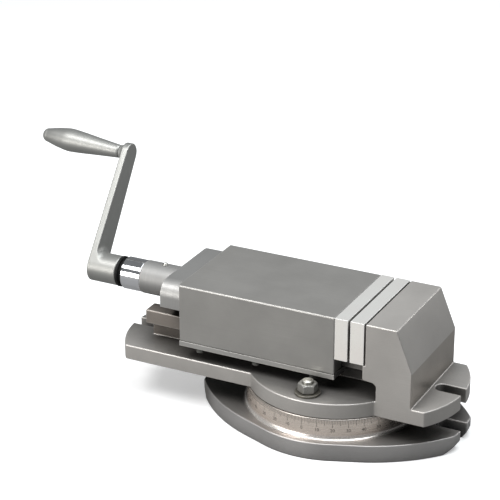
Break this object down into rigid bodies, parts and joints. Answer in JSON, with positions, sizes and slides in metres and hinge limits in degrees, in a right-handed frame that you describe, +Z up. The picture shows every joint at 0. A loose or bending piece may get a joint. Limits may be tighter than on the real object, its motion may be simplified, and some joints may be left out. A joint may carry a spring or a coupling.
{
  "type": "swivel-base machine vise",
  "caption": "Milling-machine vise: moving jaw on a bed with lead screw and tall crank, on a graduated swivel base with clamp bolts and open hold-down slots.",
  "frame": {"origin": "swivel axis at the underside of the base", "axes": "+Z up along the swivel axis, +X from the crank towards the fixed jaw, +Y to the rear"},
  "size_m": [0.5689, 0.215, 0.246],
  "materials": {
    "base_steel": "ground satin",
    "body_steel": "ground satin",
    "jaw_steel": "ground satin",
    "ground_plate": "surface ground",
    "bright_steel": "turned bright",
    "black_screws": "black oxide",
    "bronze": "machined",
    "crank_steel": "satin",
    "chrome": "polished",
    "black_seal": "matt"
  },
  "bodies": {
    "base": {"swivel_base": "base_steel", "centre_pivot": "bright_steel"},
    "vise_body": {"vise_body": "body_steel", "t_bolts": "bright_steel", "clamp_washers": "bright_steel", "fixed_jaw_plate": "ground_plate", "fixed_plate_screws": "black_screws", "lead_nut": "bronze", "nut_screws": "black_screws"},
    "nut_front": {"clamp_nut_front": "bright_steel"},
    "nut_rear": {"clamp_nut_rear": "bright_steel"},
    "moving_jaw": {"moving_jaw": "jaw_steel", "moving_jaw_plate": "ground_plate", "moving_plate_screws": "black_screws", "keeper_front": "jaw_steel", "keeper_rear": "jaw_steel", "keeper_screws": "bright_steel", "screw_housing": "crank_steel", "housing_screws": "black_screws", "bearing_sleeve": "crank_steel", "oil_nipple": "bright_steel", "thrust_races": "bright_steel"},
    "lead_screw": {"lead_screw": "bright_steel", "chrome_collar": "chrome", "wiper_ring": "black_seal", "crank_arm": "crank_steel", "grip_axle": "crank_steel"},
    "grip": {"grip": "crank_steel"}
  },
  "joints": [
    {"name": "swivel", "type": "hinge", "parent": "base", "child": "vise_body", "pos_m": [0, 0, 0.0438], "axis": [0, 0, 1], "continuous": true},
    {"name": "clamp_front", "type": "hinge", "parent": "vise_body", "child": "nut_front", "pos_m": [0.0018, -0.076, 0.0688], "axis": [0, 0, 1], "range_deg": [0, 180]},
    {"name": "clamp_rear", "type": "hinge", "parent": "vise_body", "child": "nut_rear", "pos_m": [0.0018, 0.076, 0.0688], "axis": [0, 0, 1], "range_deg": [0, 180]},
    {"name": "jaw_slide", "type": "slide", "parent": "vise_body", "child": "moving_jaw", "axis": [-1, 0, 0], "range_m": [-0.0026, 0.1001]},
    {"name": "screw_turn", "type": "hinge", "parent": "moving_jaw", "child": "lead_screw", "pos_m": [-0.2, 0, 0.1186], "axis": [-1, 0, 0], "range_deg": [-180, 7200]},
    {"name": "grip_spin", "type": "hinge", "parent": "lead_screw", "child": "grip", "pos_m": [-0.305, 0.0784, 0.22973], "axis": [-0.999, 0.0251, 0.0356], "continuous": true}
  ],
  "couplings": [
    {"joint": "jaw_slide", "follows": "screw_turn", "m_per_rad": 0.00079577}
  ]
}
